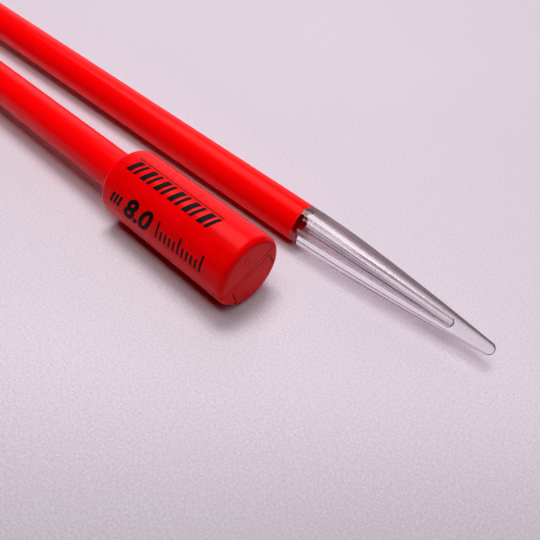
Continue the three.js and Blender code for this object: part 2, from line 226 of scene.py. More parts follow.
# Finish of the plastics. Scales of noise are in features per metre, heights of relief in metres
MOTTLE_SCALE = 260
WIPE_SCALE = 900
GRAIN_SCALE = 3200
SOFT_MOTTLE_SCALE = 400
SOFT_GRAIN_SCALE = 5000
GRAIN_HEIGHT = 0.00003
RED_INDEX = 1.49
RED_SHINE = 0.065
INK_SHINE = 0.05
PLAIN_SHINE = 0.5

# Lines along a clear piece, by its own turn: scale of the noise, and the noise between which they fade
MOULD_LINES = (6.0, 0.35, 0.6)
MOULD_FAINTNESS = 0.93
# Painted reflections: dark lines on the hollow's wall, which stand in for reflections in it
PAINTED_REFLECTION_LINES = (9.0, 0.39, 0.43)
PAINTED_REFLECTION_DARK = (0.2, 0.16, 0.18)
WHITE = (1, 1, 1)

# Table: two near tones, a fine grain, and painted shade that deepens towards the viewer between two distances in
# metres
TABLE_TONES = ((0.618, 0.547, 0.613), (0.647, 0.576, 0.642))
TABLE_CLOUD_SCALE = 9
TABLE_GRAIN_SCALE = 2600
TABLE_GRAIN = ((0.86, 0.86, 0.86), (1.11, 1.11, 1.11))
TABLE_RELIEF = 0.00008
TABLE_ROUGHNESS = 0.38
TABLE_SHINE = 0.15
TABLE_HALF_SIZE = 2.0
VIEWER_SIDE = (0.643, -0.766, 0)
SHADE_START = 0.1206
SHADE_END = 0.1666
SHADE_DEPTH = 0.64

# The photograph's camera: what it looks at, from the mouth of the first needle's tube, and its place, in
# millimetres and degrees, with its focal length in pixels
AIM = (1.71, -10.94)
AZIMUTH = 35.22
ELEVATION = 44.91
CAMERA_ROLL = 9.31
DISTANCE = 111.99
FOCAL_PIXELS = 598.40
PICTURE_PIXELS = 540
SENSOR = 36
NEAREST = 5

# The bright part of the room: its direction, how near to it the light begins and is full, as cosines, and the
# heights above the horizon between which it comes in
GLOW_SIDE = (-0.54, 0.80, 0.24)
GLOW_START = 0.72
GLOW_FULL = 0.97
HORIZON = (0.03, 0.12)
GLOW_STRENGTH = 1.2
GLOW_TINT = (1.0, 0.85, 0.96)
BACKDROP = (0.73, 0.63, 0.72)

# The colour sockets of a Mix node
MIX_FIRST, MIX_SECOND, MIX_RESULT = 6, 7, 2


def arc_drop(length, start, end):
    return length * (math.cos(start) - math.cos(end)) / (math.sin(end) - math.sin(start))


BEND_END_RADIUS = SHAFT_RADIUS - arc_drop(TIP_BEND, 0, TIP_BEND_ANGLE)
FLANK_END_RADIUS = BEND_END_RADIUS - arc_drop(TIP_FLANK, TIP_BEND_ANGLE, TIP_FLANK_ANGLE)
NOSE_RADIUS = FLANK_END_RADIUS / math.cos(TIP_FLANK_ANGLE)
TIP_LENGTH = TIP_STRAIGHT + TIP_BEND + TIP_FLANK + NOSE_RADIUS * (1 - math.sin(TIP_FLANK_ANGLE))
MOUTH_X = NEEDLE_LENGTH - TIP_LENGTH
SPIGOT_X = MOUTH_X - SPIGOT_LENGTH


def place_of(number):
    """The needle's own millimetres to the part's frame, from where its cap turns."""
    twist = next(j for j in frame["joints"] if j["name"] == f"cap_twist_{number}")
    along = Vector(twist["axis"]).normalized()
    side = Vector((0, 0, 1)).cross(along).normalized()
    axes = Matrix((along, side, along.cross(side))).transposed().to_4x4()
    start = Vector(twist["pos_m"]) - along * TWIST_X * MM
    return Matrix.Translation(start) @ axes @ Matrix.Rotation(ROLLS[number], 4, "X") @ Matrix.Scale(MM, 4)


# Shapes

def arc(centre_x, centre_r, radius, start, end, steps):
    """Points of an arc of a profile, as (x, radius), between two angles in degrees."""
    angles = [math.radians(start + (end - start) * i / steps) for i in range(steps + 1)]
    return [(centre_x + radius * math.cos(a), centre_r + radius * math.sin(a)) for a in angles]


def sloped_arc(x, radius, length, start, end, steps):
    """Points of the tip's outline from its first slope to its last, without the first point."""
    bend = length / (math.sin(end) - math.sin(start))
    slopes = [start + (end - start) * (i + 1) / steps for i in range(steps)]
    return [
        (x + bend * (math.sin(a) - math.sin(start)), radius - bend * (math.cos(start) - math.cos(a)))
        for a in slopes
    ]


def turned(profile, sides=FINE):
    """A solid of revolution about X. The profile starts and ends on the axis, or ends where it starts."""
    shape = bmesh.new()
    points = [shape.verts.new((x, 0, radius)) for x, radius in profile]
    edges = [shape.edges.new(pair) for pair in zip(points, points[1:])]
    bmesh.ops.spin(
        shape, geom=points + edges, cent=(0, 0, 0), axis=(1, 0, 0), angle=2 * math.pi,
        steps=sides, use_merge=True,
    )
    bmesh.ops.remove_doubles(shape, verts=shape.verts, dist=1e-4)
    bmesh.ops.recalc_face_normals(shape, faces=shape.faces)
    return shape


def ring(x, length, outer, inner=0.0, sides=FINE):
    end = x + length
    if inner == 0:
        return turned([(x, 0), (x, outer), (end, outer), (end, 0)], sides)
    return turned([(x, inner), (x, outer), (end, outer), (end, inner), (x, inner)], sides)


def block(x0, x1, y0, y1, z0, z1, corner=0.0):
    """A box whose long edges along X can be rounded."""
    shape = bmesh.new()
    bmesh.ops.create_cube(shape, size=1.0)
    bmesh.ops.scale(shape, vec=(x1 - x0, y1 - y0, z1 - z0), verts=shape.verts)
    bmesh.ops.translate(shape, vec=((x0 + x1) / 2, (y0 + y1) / 2, (z0 + z1) / 2), verts=shape.verts)
    if corner:
        long_edges = [e for e in shape.edges if abs(e.verts[0].co.x - e.verts[1].co.x) > 0.5 * (x1 - x0)]
        bmesh.ops.bevel(
            shape, geom=long_edges, offset=corner, offset_type="OFFSET", affect="EDGES",
            segments=8, profile=0.5, material=-1,
        )
    return shape


def object_of(shape, name):
    mesh = bpy.data.meshes.new(name)
    shape.to_mesh(mesh)
    shape.free()
    made = bpy.data.objects.new(name, mesh)
    bpy.context.scene.collection.objects.link(made)
    return made


def combined(first, *steps):
    """A solid cut, joined or met with others in turn. Each step is an operation and a solid."""
    work = object_of(first, "work")
    for operation, shape in steps:
        tool = object_of(shape, "tool")
        change = work.modifiers.new("change", "BOOLEAN")
        change.operation = operation
        change.solver = "EXACT"
        change.object = tool
        bpy.context.view_layer.update()
        result = bpy.data.meshes.new_from_object(work.evaluated_get(bpy.context.evaluated_depsgraph_get()))
        work.modifiers.clear()
        old = work.data
        work.data = result
        bpy.data.meshes.remove(old)
        tool_mesh = tool.data
        bpy.data.objects.remove(tool)
        bpy.data.meshes.remove(tool_mesh)
    shape = bmesh.new()
    shape.from_mesh(work.data)
    mesh = work.data
    bpy.data.objects.remove(work)
    bpy.data.meshes.remove(mesh)
    return shape


def piece(shape, name, place, body, material, replaced=()):
    """Puts a shape in its place, smooths it and dresses it."""
    made = object_of(shape, name)
    made.data.transform(place)
    for face in made.data.polygons:
        face.use_smooth = True
    made.data.set_sharp_from_angle(angle=math.radians(SHARP_ANGLE))
    made.data.materials.append(material)
    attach(made, body)
    if replaced:
        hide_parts(*replaced)


# Shaft, tip and lamp

def shaft():
    """The tube. Its end is cemented to the clear tip, so it lies a hair's breadth inside the clear plastic."""
    end = MOUTH_X + CEMENTED
    shape = turned([
        (TUBE_X, SHAFT_BORE),
        (TUBE_X, SHAFT_RADIUS),
        *arc(end - MOUTH_EDGE, SHAFT_RADIUS - MOUTH_EDGE, MOUTH_EDGE, 90, 0, 4),
        (end, SHAFT_BORE),
        (TUBE_X, SHAFT_BORE),
    ])
    layer = shape.verts.layers.float.new(CEMENT)
    for vert in shape.verts:
        vert[layer] = float(vert.co.x > MOUTH_X or vert.co.yz.length < SHAFT_BORE + CEMENTED)
    return shape


def drawn(shape):
    """Gives the hollow the shallow lengthwise waves that its core pin left."""
    layer = shape.verts.layers.float.new(HOLLOW)
    for vert in shape.verts:
        reach = vert.co.yz.length
        if CEMENTED < reach <= LIGHT_BORE + CEMENTED and vert.co.x < MOUTH_X + LIGHT_BORE_DEPTH:
            vert[layer] = 1.0
            turn = math.atan2(vert.co.z, vert.co.y)
            wave = sum(math.sin(count * turn + count) for count in BORE_WAVES)
            vert.co.yz *= 1 + BORE_WAVE * wave
    return shape


def clear_tip():
    bend_x = MOUTH_X + TIP_STRAIGHT
    nose_x = NEEDLE_LENGTH - NOSE_RADIUS
    nose_start = 90 - math.degrees(TIP_FLANK_ANGLE)
    return turned([
        *arc(MOUTH_X + LIGHT_BORE_DEPTH - LIGHT_BORE_END, 0, LIGHT_BORE_END, 0, 90, 12),
        (SPIGOT_X, LIGHT_BORE),
        (SPIGOT_X, SHAFT_BORE + CEMENTED),
        (MOUTH_X, SHAFT_BORE + CEMENTED),
        *arc(MOUTH_X + MOUTH_EDGE, SHAFT_RADIUS - MOUTH_EDGE, MOUTH_EDGE, 180, 90, 4),
        (bend_x, SHAFT_RADIUS),
        *sloped_arc(bend_x, SHAFT_RADIUS, TIP_BEND, 0, TIP_BEND_ANGLE, 40),
        *sloped_arc(bend_x + TIP_BEND, BEND_END_RADIUS, TIP_FLANK, TIP_BEND_ANGLE, TIP_FLANK_ANGLE, 90),
        *arc(nose_x, 0, NOSE_RADIUS, nose_start, 0, 14)[1:],
    ])


def with_turns(shape):
    """Notes each point's place along the piece and its turn round the piece's axis."""
    layer = shape.verts.layers.float_vector.new(AROUND)
    for vert in shape.verts:
        across = vert.co.yz
        turn = across.normalized() if across.length > CEMENTED else across
        vert[layer] = (vert.co.x / NEEDLE_LENGTH, turn.x, turn.y)
    return shape


def led_lens():
    base = SPIGOT_X - TOUCH - LED_FLANGE
    top = base + LED_FLANGE
    dome_x = top + LED_BODY - LED_RADIUS
    return turned([
        (base, 0),
        (base, LED_FLANGE_RADIUS),
        (top, LED_FLANGE_RADIUS),
        (top, LED_RADIUS),
        *arc(dome_x, 0, LED_RADIUS, 90, 0, 12),
    ], MEDIUM)


# Cap

def cap_outline():
    return [
        (0, 0),
        (0, CAP_RADIUS - CAP_RIM - RIM_SUPPORT),
        *arc(CAP_RIM, CAP_RADIUS - CAP_RIM, CAP_RIM, 180, 90, 12),
        *arc(CAP_LENGTH - CAP_SHOULDER, CAP_RADIUS - CAP_SHOULDER, CAP_SHOULDER, 90, 0, 10),
    ]


def cap_solid():
    return turned([*cap_outline(), (CAP_LENGTH, 0)])


def cap_walls():
    """The cap with its hollows: the battery bay, the switch's space and the neck round the shaft."""
    front = MIDDLE_WALL_X + MIDDLE_WALL
    neck_end = CAP_LENGTH - FRONT_WALL
    ledge = BULKHEAD_END + TOUCH
    return turned([
        *cap_outline(),
        (CAP_LENGTH, CAP_BORE),
        (neck_end, CAP_BORE),
        (neck_end, CAP_INSIDE),
        (front, CAP_INSIDE),
        (front, CAP_BORE),
        (MIDDLE_WALL_X, CAP_BORE),
        (MIDDLE_WALL_X, CAP_INSIDE),
        (ledge + LEDGE, CAP_INSIDE),
        (ledge + LEDGE, LEDGE_INNER),
        (ledge, LEDGE_INNER),
        (ledge, CAP_INSIDE),
        (END_WALL, CAP_INSIDE),
        (END_WALL, 0),
    ])


def half_space(upper):
    far = 2 * CAP_RADIUS
    low, high = (SEAM_RISE + SEAM_WIDTH / 2, far) if upper else (-far, SEAM_RISE - SEAM_WIDTH / 2)
    return block(-OVERCUT, CAP_LENGTH + OVERCUT, -far, far, low, high)


def gate_mark():
    """The shallow dimple that the moulding left on the end face."""
    dimple = turned([
        (-OVERCUT, 0),
        (-OVERCUT, GATE_RADIUS),
        *[(GATE_DEPTH * x / GATE_RADIUS, radius) for x, radius in arc(0, 0, GATE_RADIUS, 90, 0, 8)],
    ], 32)
    bmesh.ops.translate(dimple, vec=(0, 0, GATE_RISE), verts=dimple.verts)
    return dimple


def cap_upper():
    return combined(cap_walls(), ("DIFFERENCE", gate_mark()), ("INTERSECT", half_space(True)))


def door_space(growth):
    half = DOOR_HALF_WIDTH + growth
    top = -DOOR_TOP + growth
    return block(-OVERCUT, DOOR_LENGTH + growth, -half, half, -2 * CAP_RADIUS, top, DOOR_CORNER + growth)


def door_tongues(growth):
    half = DOOR_HALF_WIDTH + TONGUE_DEPTH + growth
    start = -OVERCUT if growth else TONGUE_START
    return block(start, DOOR_LENGTH + growth, -half, half, -TONGUE_BOTTOM - growth, -TONGUE_TOP + growth)


def cap_lower():
    return combined(
        cap_walls(),
        ("INTERSECT", half_space(False)),
        ("DIFFERENCE", door_space(DOOR_GAP)),
        ("DIFFERENCE", door_tongues(DOOR_GAP)),
    )


def door_rib(x):
    reach = CAP_INSIDE + RIB_OVERLAP
    width = DOOR_HALF_WIDTH - DOOR_GAP
    return combined(
        ring(x, RIB_THICKNESS, reach, CELL_RADIUS + CELL_SLACK, MEDIUM),
        ("INTERSECT", block(0, DOOR_LENGTH, -width, width, -CAP_RADIUS, RIB_RISE - TONGUE_BOTTOM)),
    )


def battery_door():
    strips = combined(
        ring(TONGUE_START, DOOR_LENGTH - TONGUE_START, TONGUE_RADIUS, CAP_INSIDE),
        ("INTERSECT", door_tongues(0)),
    )
    return combined(
        cap_solid(),
        ("INTERSECT", door_space(0)),
        ("DIFFERENCE", ring(END_WALL, DOOR_LENGTH, CAP_INSIDE)),
        ("UNION", strips),
        *[("UNION", door_rib(x)) for x in DOOR_RIBS],
    )


# Print on the cap: plain figures, bars and rule marks

def flat_figures(text, size):
    """Figures as a thin closed solid that lies flat, read along X."""
    curve = bpy.data.curves.new("figures", "FONT")
    curve.body = text
    curve.size = size
    curve.offset = FIGURE_WEIGHT
    curve.shear = PRINT_SLANT
    curve.extrude = INK_THICKNESS / 2
    holder = bpy.data.objects.new("figures", curve)
    bpy.context.scene.collection.objects.link(holder)
    bpy.context.view_layer.update()
    mesh = bpy.data.meshes.new_from_object(holder.evaluated_get(bpy.context.evaluated_depsgraph_get()))
    shape = bmesh.new()
    shape.from_mesh(mesh)
    bpy.data.objects.remove(holder)
    bpy.data.curves.remove(curve)
    bpy.data.meshes.remove(mesh)
    bmesh.ops.remove_doubles(shape, verts=shape.verts, dist=1e-5)
    return shape


def flat_bar(start, width, foot, top, slant):
    """One bar as a thin closed solid that lies flat and leans as it rises."""
    half = INK_THICKNESS / 2
    shape = block(start, start + width, foot, top, -half, half)
    for vert in shape.verts:
        vert.co.x += slant * vert.co.y
    return shape


def wrapped(shape, start_x, foot_angle):
    """Lays a flat drawing round the cap. It is read towards the cap's end, with its foot at an angle in degrees."""
    low = min(v.co.y for v in shape.verts)
    high = max(v.co.y for v in shape.verts)
    strips = math.ceil((high - low) / PRINT_STRIP)
    for i in range(1, strips):
        bmesh.ops.bisect_plane(
            shape, geom=shape.verts[:] + shape.edges[:] + shape.faces[:],
            plane_co=(0, low + (high - low) * i / strips, 0), plane_no=(0, 1, 0),
        )
    for vert in shape.verts:
        angle = math.radians(foot_angle) + vert.co.y / CAP_RADIUS
        reach = CAP_RADIUS + INK_LIFT + vert.co.z
        vert.co = (start_x - vert.co.x, reach * math.cos(angle), reach * math.sin(angle))
    return shape


def cap_print():
    """The upper row of bars under a fine line, and the lower row with the size between rule marks."""
    bars = [flat_bar(BAR_PITCH * i, BAR_WIDTHS[i % 2], 0, BAR_HEIGHT, PRINT_SLANT) for i in range(BAR_COUNT)]
    line = flat_bar(0, BAR_PITCH * BAR_COUNT, LINE_RISE, LINE_RISE + LINE_WIDTH, 0)
    marks = [
        flat_bar(RULE_PITCH * i, RULE_WIDTH, 0, RULE_TALL if i % 5 == 0 else RULE_SHORT, 0)
        for i in range(RULE_COUNT)
    ]
    leads = [flat_bar(LEAD_PITCH * i, LEAD_WIDTH, 0, LEAD_HEIGHT, PRINT_SLANT) for i in range(LEAD_COUNT)]
    return [
        *[(f"bar_{i}", wrapped(shape, BAR_X, BAR_ANGLE)) for i, shape in enumerate(bars)],
        ("line", wrapped(line, BAR_X, BAR_ANGLE)),
        *[(f"mark_{i}", wrapped(shape, RULE_X, RULE_ANGLE)) for i, shape in enumerate(marks)],
        *[(f"lead_{i}", wrapped(shape, LEAD_X, LEAD_ANGLE)) for i, shape in enumerate(leads)],
        ("size", wrapped(flat_figures("8.0", FIGURE_SIZE), FIGURE_X, FIGURE_ANGLE)),
    ]


# Cells and spring

def button_cell(index):
    x = FIRST_CELL_X + index * CELL_PITCH
    end = x + CELL_HEIGHT
    return turned([
        (x, 0),
        *arc(x + CELL_FACE_EDGE, CELL_FACE, CELL_FACE_EDGE, 180, 90, 4),
        *[(x + depth, radius) for depth, radius in CELL_GROOVE],
        *arc(x + CELL_CAN_RISE, CELL_RADIUS - CELL_RIM, CELL_RIM, 180, 90, 5),
        *arc(end - CELL_BACK_RIM, CELL_RADIUS - CELL_BACK_RIM, CELL_BACK_RIM, 90, 0, 5),
        (end, 0),
    ], MEDIUM)


def contact_spring():
    """A coned coil swept from its foot on the plate to its head at the first cell."""
    shape = bmesh.new()
    steps = SPRING_TURNS * SPRING_STEPS
    rings = []
    for i in range(steps + 1):
        share = i / steps
        angle = 2 * math.pi * SPRING_TURNS * share
        radius = SPRING_FOOT + (SPRING_HEAD - SPRING_FOOT) * share
        x = SPRING_X + SPRING_WIRE + (SPRING_LENGTH - 2 * SPRING_WIRE) * share
        centre = Vector((x, radius * math.cos(angle), radius * math.sin(angle)))
        outward = Vector((0, math.cos(angle), math.sin(angle)))
        corners = [
            shape.verts.new(centre + SPRING_WIRE * (math.cos(t) * outward + math.sin(t) * Vector((1, 0, 0))))
            for t in (2 * math.pi * k / SPRING_SIDES for k in range(SPRING_SIDES))
        ]
        rings.append([shape.edges.new((a, b)) for a, b in zip(corners, corners[1:] + corners[:1])])
    for near, far in zip(rings, rings[1:]):
        bmesh.ops.bridge_loops(shape, edges=near + far)
    bmesh.ops.holes_fill(shape, edges=rings[0] + rings[-1], sides=0)
    bmesh.ops.recalc_face_normals(shape, faces=shape.faces)
    return shape


# Materials

def material(name):
    made = bpy.data.materials.new(name)
    made.use_nodes = True
    nodes = made.node_tree.nodes
    return made, nodes, made.node_tree.links, nodes["Principled BSDF"]


def object_noise(nodes, links, scale, stretch=(1, 1, 1), detail=4, roughness=0.5):
    """Noise on the part's own coordinates, at features per metre, stretched where asked."""
    place = nodes.new("ShaderNodeTexCoord")
    mapping = nodes.new("ShaderNodeMapping")
    mapping.inputs["Scale"].default_value = stretch
    noise = nodes.new("ShaderNodeTexNoise")
    noise.inputs["Scale"].default_value = scale
    noise.inputs["Detail"].default_value = detail
    noise.inputs["Roughness"].default_value = roughness
    links.new(place.outputs["Object"], mapping.inputs["Vector"])
    links.new(mapping.outputs["Vector"], noise.inputs["Vector"])
    return noise


def ramp(nodes, links, source, low, high, start=0.3, end=0.7):
    """Turns a value into a range of colours."""
    made = nodes.new("ShaderNodeValToRGB")
    made.color_ramp.elements[0].position = start
    made.color_ramp.elements[1].position = end
    made.color_ramp.elements[0].color = (*low, 1)
    made.color_ramp.elements[1].color = (*high, 1)
    links.new(source, made.inputs["Fac"])
    return made.outputs["Color"]


def spread(nodes, links, source, low, high):
    """Turns a value into a range of numbers."""
    made = nodes.new("ShaderNodeMapRange")
    made.inputs["From Min"].default_value = 0.3
    made.inputs["From Max"].default_value = 0.7
    made.inputs["To Min"].default_value = low
    made.inputs["To Max"].default_value = high
    links.new(source, made.inputs["Value"])
    return made.outputs["Result"]


def smooth_step(nodes, links, source, start, end, low, high):
    made = nodes.new("ShaderNodeMapRange")
    made.interpolation_type = "SMOOTHSTEP"
    made.inputs["From Min"].default_value = start
    made.inputs["From Max"].default_value = end
    made.inputs["To Min"].default_value = low
    made.inputs["To Max"].default_value = high
    links.new(source, made.inputs["Value"])
    return made.outputs["Result"]


def bump(nodes, links, shader, source, strength, height):
    made = nodes.new("ShaderNodeBump")
    made.inputs["Strength"].default_value = strength
    made.inputs["Distance"].default_value = height
    links.new(source, made.inputs["Height"])
    if shader.inputs["Normal"].links:
        links.new(shader.inputs["Normal"].links[0].from_socket, made.inputs["Normal"])
    links.new(made.outputs["Normal"], shader.inputs["Normal"])


def red_plastic(name, deep, light, rough, lengthwise):
    """Solid red plastic: slight colour mottle, a soft gloss that varies and fine marks along the part.

    Where it is cemented inside clear plastic it has no gloss.
    """
    made, nodes, links, shader = material(name)
    mottle = object_noise(nodes, links, MOTTLE_SCALE, (1 / lengthwise, 1, 1), 3)
    links.new(ramp(nodes, links, mottle.outputs["Fac"], deep, light), shader.inputs["Base Color"])
    wipe = object_noise(nodes, links, WIPE_SCALE, (1 / lengthwise, 1, 1), 5, 0.6)
    links.new(spread(nodes, links, wipe.outputs["Fac"], rough - 0.05, rough + 0.06), shader.inputs["Roughness"])
    grain = object_noise(nodes, links, GRAIN_SCALE, (1 / lengthwise, 1, 1), 2)
    bump(nodes, links, shader, grain.outputs["Fac"], 0.12, GRAIN_HEIGHT)
    shader.inputs["IOR"].default_value = RED_INDEX
    inside = nodes.new("ShaderNodeAttribute")
    inside.attribute_name = CEMENT
    gloss = smooth_step(nodes, links, inside.outputs["Fac"], 0, 1, RED_SHINE, 0)
    links.new(gloss, shader.inputs["Specular IOR Level"])
    return made


def lines_along(nodes, links, lines, low, high):
    """Colours that run in lines along a clear piece, laid out by the piece's own turn."""
    scale, start, end = lines
    place = nodes.new("ShaderNodeAttribute")
    place.attribute_name = AROUND
    noise = nodes.new("ShaderNodeTexNoise")
    noise.inputs["Scale"].default_value = scale
    noise.inputs["Detail"].default_value = 2.0
    links.new(place.outputs["Vector"], noise.inputs["Vector"])
    return ramp(nodes, links, noise.outputs["Fac"], low, high, start, end)


def clear_plastic(name, tint, rough, index, shade):
    """Clear plastic with the fine lines that its moulding left along it.

    Lamps shine through it, and each face that they pass takes its share of the light.
    """
    made, nodes, links, shader = material(name)
    faint = tuple(value * MOULD_FAINTNESS for value in tint)
    links.new(lines_along(nodes, links, MOULD_LINES, faint, tint), shader.inputs["Base Color"])
    shader.inputs["Roughness"].default_value = rough
    shader.inputs["IOR"].default_value = index
    shader.inputs["Transmission Weight"].default_value = 1.0
    path = nodes.new("ShaderNodeLightPath")
    passing = nodes.new("ShaderNodeBsdfTransparent")
    passing.inputs["Color"].default_value = (*shade, 1)
    either = nodes.new("ShaderNodeMixShader")
    links.new(path.outputs["Is Shadow Ray"], either.inputs["Fac"])
    links.new(shader.outputs["BSDF"], either.inputs[1])
    links.new(passing.outputs["BSDF"], either.inputs[2])
    links.new(either.outputs["Shader"], nodes["Material Output"].inputs["Surface"])
    return made


def paint_tip_shade_and_reflections(made):
    """Adds painted reflections as dark lines along the hollow's wall, and painted shade as dark stripes on the tip.
    """
    nodes, links = made.node_tree.nodes, made.node_tree.links
    base = nodes["Principled BSDF"].inputs["Base Color"]
    plain = base.links[0].from_socket
    # Painted reflections: dark lines along the hollow's wall
    drawing = lines_along(nodes, links, PAINTED_REFLECTION_LINES, PAINTED_REFLECTION_DARK, WHITE)
    # The turn as a share of a whole one. It is taken from the opposite side, so that it starts at 0
    place = nodes.new("ShaderNodeAttribute")
    place.attribute_name = AROUND
    back = nodes.new("ShaderNodeVectorMath")
    back.operation = "SCALE"
    back.inputs["Scale"].default_value = -1.0
    links.new(place.outputs["Vector"], back.inputs[0])
    split = nodes.new("ShaderNodeSeparateXYZ")
    links.new(back.outputs["Vector"], split.inputs["Vector"])
    turn = nodes.new("ShaderNodeMath")
    turn.operation = "ARCTAN2"
    links.new(split.outputs["Z"], turn.inputs[0])
    links.new(split.outputs["Y"], turn.inputs[1])
    share = nodes.new("ShaderNodeMath")
    share.operation = "MULTIPLY_ADD"
    share.inputs[1].default_value = 0.5 / math.pi
    share.inputs[2].default_value = 0.5
    links.new(turn.outputs["Value"], share.inputs[0])
    # Painted shade: dark stripes on one side of the tip, set by turn about its axis
    painted_shade = nodes.new("ShaderNodeValToRGB")
    stops = [(0, WHITE)]
    for start, full, fading, end, colour in PAINTED_SHADE_STRIPES:
        stops += [(start, WHITE), (full, colour), (fading, colour), (end, WHITE)]
    stops.append((360, WHITE))
    bands = painted_shade.color_ramp.elements
    while len(bands) < len(stops):
        bands.new(0.5)
    for band, (degrees, colour) in zip(bands, stops):
        band.position = degrees / 360
        band.color = (*colour, 1)
    links.new(share.outputs["Value"], painted_shade.inputs["Fac"])
    wall = nodes.new("ShaderNodeAttribute")
    wall.attribute_name = HOLLOW
    side = nodes.new("ShaderNodeMix")
    side.data_type = "RGBA"
    links.new(wall.outputs["Fac"], side.inputs["Factor"])
    links.new(painted_shade.outputs["Color"], side.inputs[MIX_FIRST])
    links.new(drawing, side.inputs[MIX_SECOND])
    both = nodes.new("ShaderNodeVectorMath")
    both.operation = "MULTIPLY"
    links.new(plain, both.inputs[0])
    links.new(side.outputs[MIX_RESULT], both.inputs[1])
    links.new(both.outputs["Vector"], base)


def metal(name, dark, bright, rough, scale, stretch):
    made, nodes, links, shader = material(name)
    shader.inputs["Metallic"].default_value = 1.0
    stain = object_noise(nodes, links, scale, stretch, 4)
    links.new(ramp(nodes, links, stain.outputs["Fac"], dark, bright), shader.inputs["Base Color"])
    links.new(spread(nodes, links, stain.outputs["Fac"], rough - 0.08, rough + 0.1), shader.inputs["Roughness"])
    scratch = object_noise(nodes, links, scale * 4, stretch, 3)
    bump(nodes, links, shader, scratch.outputs["Fac"], 0.15, GRAIN_HEIGHT)
    return made


def soft_plastic(name, low, high, rough, shine=PLAIN_SHINE):
    made, nodes, links, shader = material(name)
    mottle = object_noise(nodes, links, SOFT_MOTTLE_SCALE, detail=3)
    links.new(ramp(nodes, links, mottle.outputs["Fac"], low, high), shader.inputs["Base Color"])
    shader.inputs["Roughness"].default_value = rough
    shader.inputs["Specular IOR Level"].default_value = shine
    grain = object_noise(nodes, links, SOFT_GRAIN_SCALE, detail=2)
    bump(nodes, links, shader, grain.outputs["Fac"], 0.2, GRAIN_HEIGHT)
    return made


SHAFT_RED = red_plastic("extruded_red", (0.94, 0.0004, 0.0012), (0.99, 0.0008, 0.002), 0.24, 30)
CAP_RED = red_plastic("moulded_red", (0.80, 0.0003, 0.0012), (0.86, 0.0006, 0.002), 0.2, 1.5)
CLEAR = clear_plastic("clear_plastic", (0.985, 0.965, 0.98), 0.0, 1.585, (0.70, 0.66, 0.68))
paint_tip_shade_and_reflections(CLEAR)
EPOXY = clear_plastic("lamp_epoxy", (0.97, 0.98, 1.0), 0.05, 1.53, (0.9, 0.9, 0.9))
INK = soft_plastic("black_ink", (0.003, 0.002, 0.002), (0.007, 0.004, 0.005), 0.42, INK_SHINE)
NYLON = soft_plastic("white_nylon", (0.74, 0.72, 0.66), (0.84, 0.82, 0.76), 0.5)
RED_WIRE = soft_plastic("red_insulation", (0.42, 0.006, 0.006), (0.54, 0.01, 0.01), 0.45)
BLACK_WIRE = soft_plastic("black_insulation", (0.006, 0.006, 0.007), (0.012, 0.012, 0.013), 0.45)
TIN = metal("tinned_steel", (0.46, 0.47, 0.49), (0.62, 0.63, 0.65), 0.3, 1500, (0.2, 1, 1))
BRASS = metal("plated_brass", (0.52, 0.34, 0.09), (0.66, 0.46, 0.15), 0.28, 1200, (1, 1, 1))
CELL_CAN = metal("cell_steel", (0.56, 0.57, 0.59), (0.72, 0.73, 0.74), 0.22, 900, (1, 1, 1))

# The pieces that stay as they are in the frame, with what each is made of
KEPT = {
    "led_anode_lead": TIN,
    "led_cathode_lead": TIN,
    "led_holder": NYLON,
    "positive_wire": RED_WIRE,
    "negative_wire": BLACK_WIRE,
    "positive_joint_sleeve": RED_WIRE,
    "negative_joint_sleeve": BLACK_WIRE,
    "switch_plug": NYLON,
    "centre_contact": BRASS,
    "arc_contact": BRASS,
    "bulkhead": NYLON,
    "positive_contact": BRASS,
    "negative_contact": BRASS,
}


def dress_needle(number):
    place = place_of(number)
    needle, cap, door = f"needle_{number}", f"cap_{number}", f"door_{number}"
    tip = with_turns(drawn(clear_tip()))
    piece(shaft(), f"shaft_{number}", place, needle, SHAFT_RED, [f"shaft_tube_{number}"])
    piece(tip, f"tip_{number}", place, needle, CLEAR, [f"clear_tip_{number}"])
    piece(with_turns(led_lens()), f"lamp_{number}", place, needle, EPOXY, [f"led_lens_{number}"])
    piece(cap_upper(), f"cap_shell_{number}", place, cap, CAP_RED, [f"cap_upper_shell_{number}"])
    piece(cap_lower(), f"cap_base_{number}", place, cap, CAP_RED, [f"cap_lower_shell_{number}"])
    piece(battery_door(), f"door_panel_{number}", place, door, CAP_RED, [f"battery_door_{number}"])
    for name, shape in cap_print():
        piece(shape, f"print_{name}_{number}", place, cap, INK)
    piece(contact_spring(), f"spring_{number}", place, cap, TIN, [f"contact_spring_{number}"])
    for index, letter in enumerate(CELLS):
        piece(
            button_cell(index), f"cell_{letter}_{number}", place, cap, CELL_CAN,
            [f"button_cell_{letter}_{number}"],
        )
    for node, finish in KEPT.items():
        kept = frame["nodes"][f"{node}_{number}"]
        kept.data.materials.clear()
        kept.data.materials.append(finish)


# Table, light and camera

